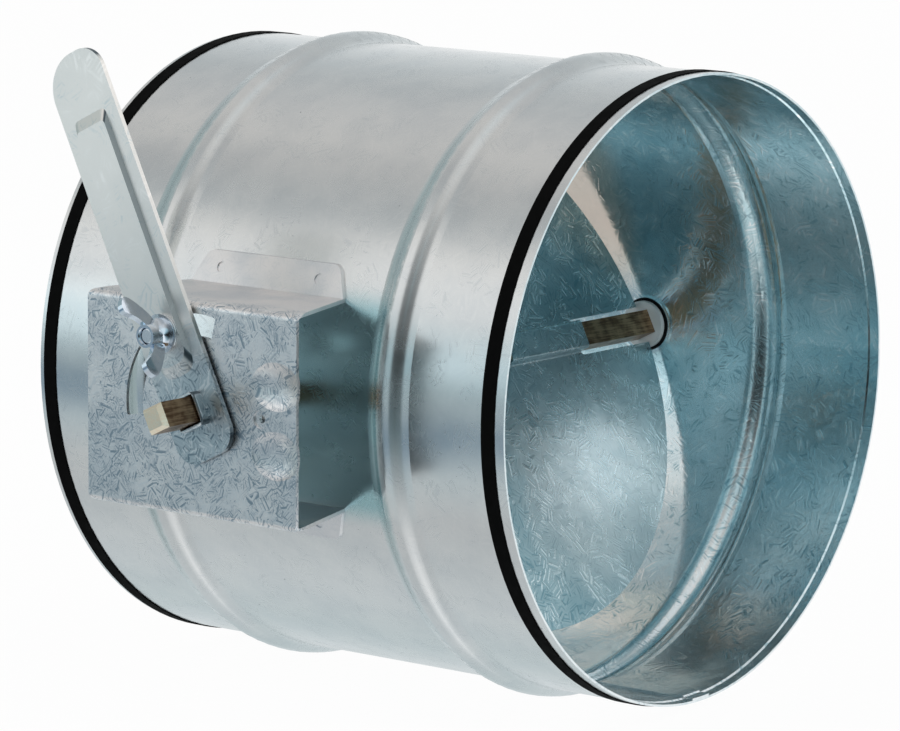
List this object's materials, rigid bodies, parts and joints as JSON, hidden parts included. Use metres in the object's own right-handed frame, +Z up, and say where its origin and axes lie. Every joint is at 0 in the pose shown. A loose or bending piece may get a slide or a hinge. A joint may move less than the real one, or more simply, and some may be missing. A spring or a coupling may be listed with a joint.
{
  "type": "volume control damper",
  "caption": "Round duct damper: beaded galvanised casing, quarter-turn butterfly blade on a square shaft, standoff bracket, handle and wing-nut clamp.",
  "frame": {"origin": "where the duct axis crosses the blade shaft axis", "axes": "+X along the duct axis towards the outlet spigot, -Y along the shaft towards the handle, +Z up"},
  "size_m": [0.235, 0.3163, 0.2627],
  "materials": {
    "casing_steel": "bright hot-dip galvanised sheet with faint spangle",
    "bracket_steel": "galvanised sheet with a coarse matt spangle",
    "blade_steel": "galvanised sheet with crossed spangle crystals",
    "handle_steel": "galvanised strip, smooth and bright",
    "gasket_rubber": "black EPDM rubber, matt",
    "seal_rubber": "black rubber washer",
    "brass": "drawn brass bar, slightly tarnished",
    "rivet_steel": "zinc-plated steel rivets",
    "nylon": "natural white nylon",
    "spring_steel": "phosphated spring steel",
    "zinc_plated_steel": "bright zinc plating",
    "bright_zinc": "bright zinc plating with a faint blue tint"
  },
  "bodies": {
    "casing_body": {"duct_casing": "casing_steel", "inlet_gasket": "gasket_rubber", "outlet_gasket": "gasket_rubber", "standoff_bracket": "bracket_steel", "near_bush_seal": "seal_rubber", "far_bush_seal": "seal_rubber"},
    "swing_body": {"shaft": "brass", "blade": "blade_steel", "blade_rivets": "rivet_steel", "near_bush": "nylon", "far_bush": "nylon", "near_bush_clip": "spring_steel", "far_bush_clip": "spring_steel", "plate_bush": "nylon", "handle_lever": "handle_steel", "clamp_bolt": "zinc_plated_steel", "clamp_washer": "zinc_plated_steel"},
    "wing_nut_body": {"wing_nut": "bright_zinc"}
  },
  "joints": [
    {"name": "blade_swing", "type": "hinge", "parent": "casing_body", "child": "swing_body", "pos_m": [0, 0, 0], "axis": [0, -1, 0], "range_deg": [-26, 64]},
    {"name": "wing_nut_turn", "type": "hinge", "parent": "swing_body", "child": "wing_nut_body", "pos_m": [-0.01403, -0.1672, 0.02876], "axis": [0, -1, 0], "continuous": true}
  ]
}
